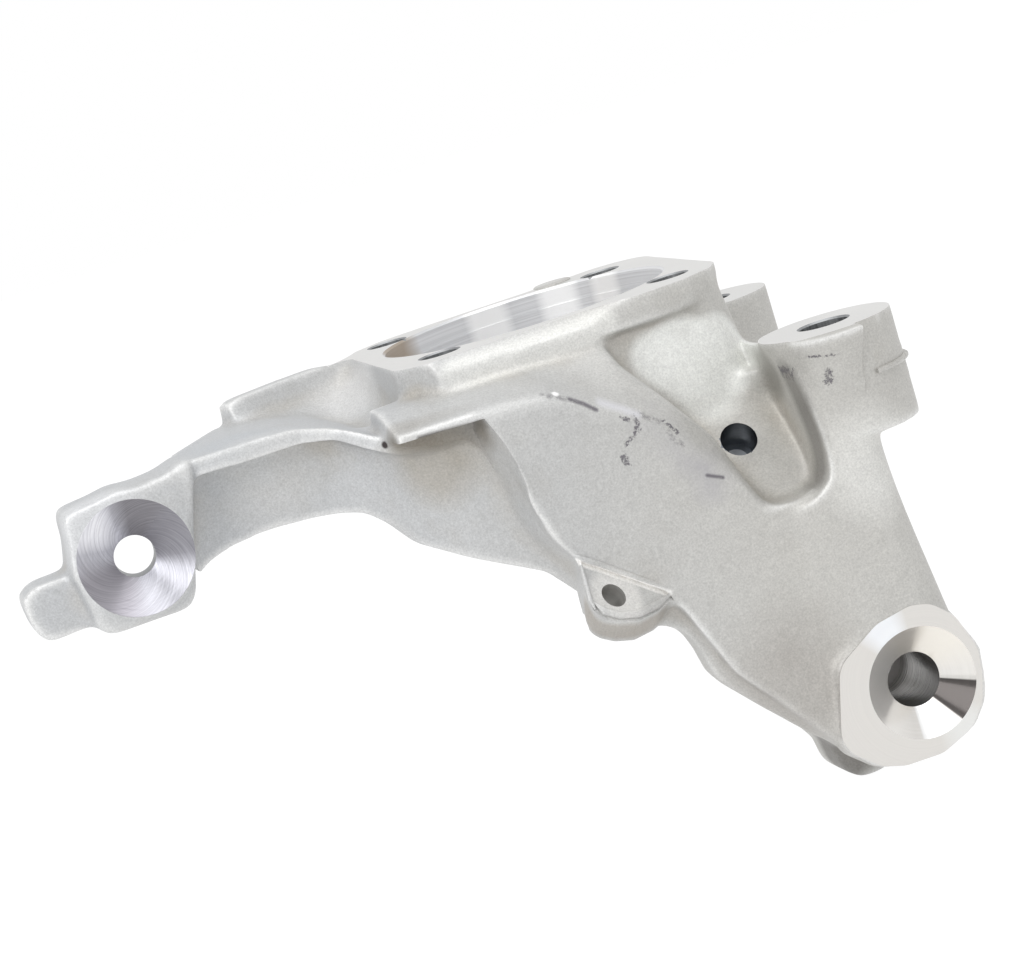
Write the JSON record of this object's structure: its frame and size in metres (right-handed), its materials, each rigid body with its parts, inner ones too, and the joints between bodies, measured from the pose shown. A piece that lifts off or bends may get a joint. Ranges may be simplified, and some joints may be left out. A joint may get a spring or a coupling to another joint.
{
  "type": "steering knuckle",
  "caption": "Cast aluminium steering knuckle with a bearing bore and bolt flange, steering arm, ball-joint leg, caliper ears and strut clamp.",
  "frame": {"origin": "centre of the hub bolt square, on the bearing bore's axis, in the machined flange face", "axes": "+Z out of the bearing bore towards the wheel, +X towards the caliper ears, -Y towards the lower ball joint"},
  "size_m": [0.2773, 0.2055, 0.1627],
  "materials": {
    "cast_aluminium": "satin cast skin with bright turned bores and faces"
  },
  "bodies": {
    "root": {"knuckle": "cast_aluminium"}
  },
  "joints": []
}
